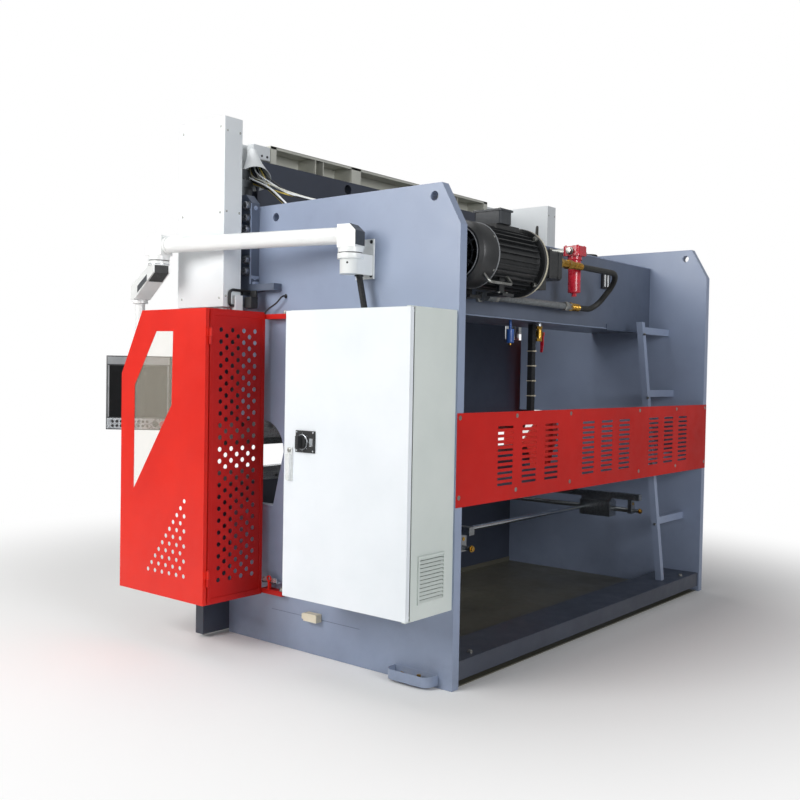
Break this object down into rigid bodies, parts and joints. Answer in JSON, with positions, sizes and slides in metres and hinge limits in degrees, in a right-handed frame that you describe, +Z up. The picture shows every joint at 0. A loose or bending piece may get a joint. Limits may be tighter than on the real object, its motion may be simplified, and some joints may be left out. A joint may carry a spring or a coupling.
{
  "type": "cnc press brake",
  "caption": "Hydraulic press brake with slate side frames, long ram over a bed, rear oil tank and motor, red guards, white control cabinet and a swinging control pendant.",
  "frame": {"origin": "on the floor, midway between the two side plates, straight under the bending line", "axes": "+X right as seen by the operator at the front, +Y to the rear, +Z up"},
  "size_m": [3.71, 2.1932, 2.712],
  "materials": {
    "black_paint": "semi-gloss",
    "black_plastic": "matte",
    "blue_plastic": "gloss",
    "brass": "machined",
    "bright_steel": "polished",
    "cable_plastic": "matte",
    "clear_sheet": "clear",
    "cream_plastic": "matte",
    "floor_paint": "worn",
    "grey_paint": "satin",
    "hose_rubber": "matte",
    "red_paint": "gloss",
    "red_plastic": "gloss",
    "slate_paint": "semi-gloss",
    "steel": "brushed",
    "white_paint": "semi-gloss"
  },
  "bodies": {
    "frame": {"side_plate_right": "slate_paint", "side_plate_left": "slate_paint", "bed": "slate_paint", "rear_sill": "slate_paint", "ladder": "slate_paint", "ram_guide_right": "slate_paint", "ram_guide_left": "slate_paint", "oil_tank": "slate_paint", "lower_die": "steel", "cylinder_right": "steel", "cylinder_left": "steel", "backgauge_rail_right": "steel", "backgauge_rail_left": "steel", "drive_shaft": "steel", "pump_bracket": "slate_paint", "foot_tray": "slate_paint", "pump_fitting": "brass", "pressure_hose": "hose_rubber", "loop_hose": "hose_rubber", "conduit": "hose_rubber", "return_pipe": "steel", "cable_bundle": "cable_plastic", "floor_pan": "floor_paint", "cable_duct": "black_plastic", "end_cover_right": "white_paint", "end_cover_left": "white_paint", "top_box": "white_paint", "cabinet": "white_paint", "pendant_bracket": "white_paint", "filler_cap": "black_plastic", "level_gauge": "black_plastic", "rear_guard": "red_paint", "side_guard_rear": "red_paint", "side_guard_rear_left": "red_paint", "side_guard_panel_left": "red_paint", "side_guard_window_left": "clear_sheet", "motor": "black_paint", "fan_cowl": "black_paint", "terminal_box": "black_paint", "pump": "black_paint", "filter_unit": "red_plastic", "ball_valve": "brass", "air_canister": "blue_plastic", "connector_box": "cream_plastic"},
    "ram": {"ram": "slate_paint", "upper_tool": "steel", "piston_rod_right": "bright_steel", "piston_rod_left": "bright_steel"},
    "backgauge": {"backgauge_beam": "slate_paint"},
    "cabinet_door": {"cabinet_door": "white_paint", "switch_plate": "black_plastic", "door_handle": "bright_steel"},
    "switch_knob": {"switch_knob": "black_plastic"},
    "side_guard_door": {"side_guard_door": "red_paint", "side_guard_window": "clear_sheet"},
    "pendant_arm": {"pendant_arm": "white_paint"},
    "pendant_head": {"pendant_head": "white_paint", "controller": "grey_paint"},
    "valve_lever": {"valve_lever": "red_plastic"}
  },
  "joints": [
    {"name": "ram_slide", "type": "slide", "parent": "frame", "child": "ram", "axis": [0, 0, 1], "range_m": [-0.112, 0.035]},
    {"name": "backgauge_slide", "type": "slide", "parent": "frame", "child": "backgauge", "axis": [0, 1, 0], "range_m": [-0.19, 0.22]},
    {"name": "cabinet_door_hinge", "type": "hinge", "parent": "frame", "child": "cabinet_door", "pos_m": [1.743, 1.513, 1.035], "axis": [0, 0, 1], "range_deg": [0, 110]},
    {"name": "main_switch_turn", "type": "hinge", "parent": "cabinet_door", "child": "switch_knob", "pos_m": [1.765, 0.905, 1.098], "axis": [1, 0, 0], "range_deg": [0, 90]},
    {"name": "side_guard_hinge", "type": "hinge", "parent": "frame", "child": "side_guard_door", "pos_m": [1.829, 0.338, 0.99], "axis": [0, 0, 1], "range_deg": [0, 95]},
    {"name": "pendant_arm_swivel", "type": "hinge", "parent": "frame", "child": "pendant_arm", "pos_m": [1.53, 0.977, 1.98], "axis": [0, 0, 1], "range_deg": [0, 8]},
    {"name": "pendant_head_swivel", "type": "hinge", "parent": "pendant_arm", "child": "pendant_head", "pos_m": [1.77847, -0.14379, 1.98], "axis": [0, 0, 1], "range_deg": [-15, 60]},
    {"name": "tank_valve_lever", "type": "hinge", "parent": "frame", "child": "valve_lever", "pos_m": [-0.06, 1.07, 1.666], "axis": [1, 0, 0], "range_deg": [-90, 0]}
  ]
}
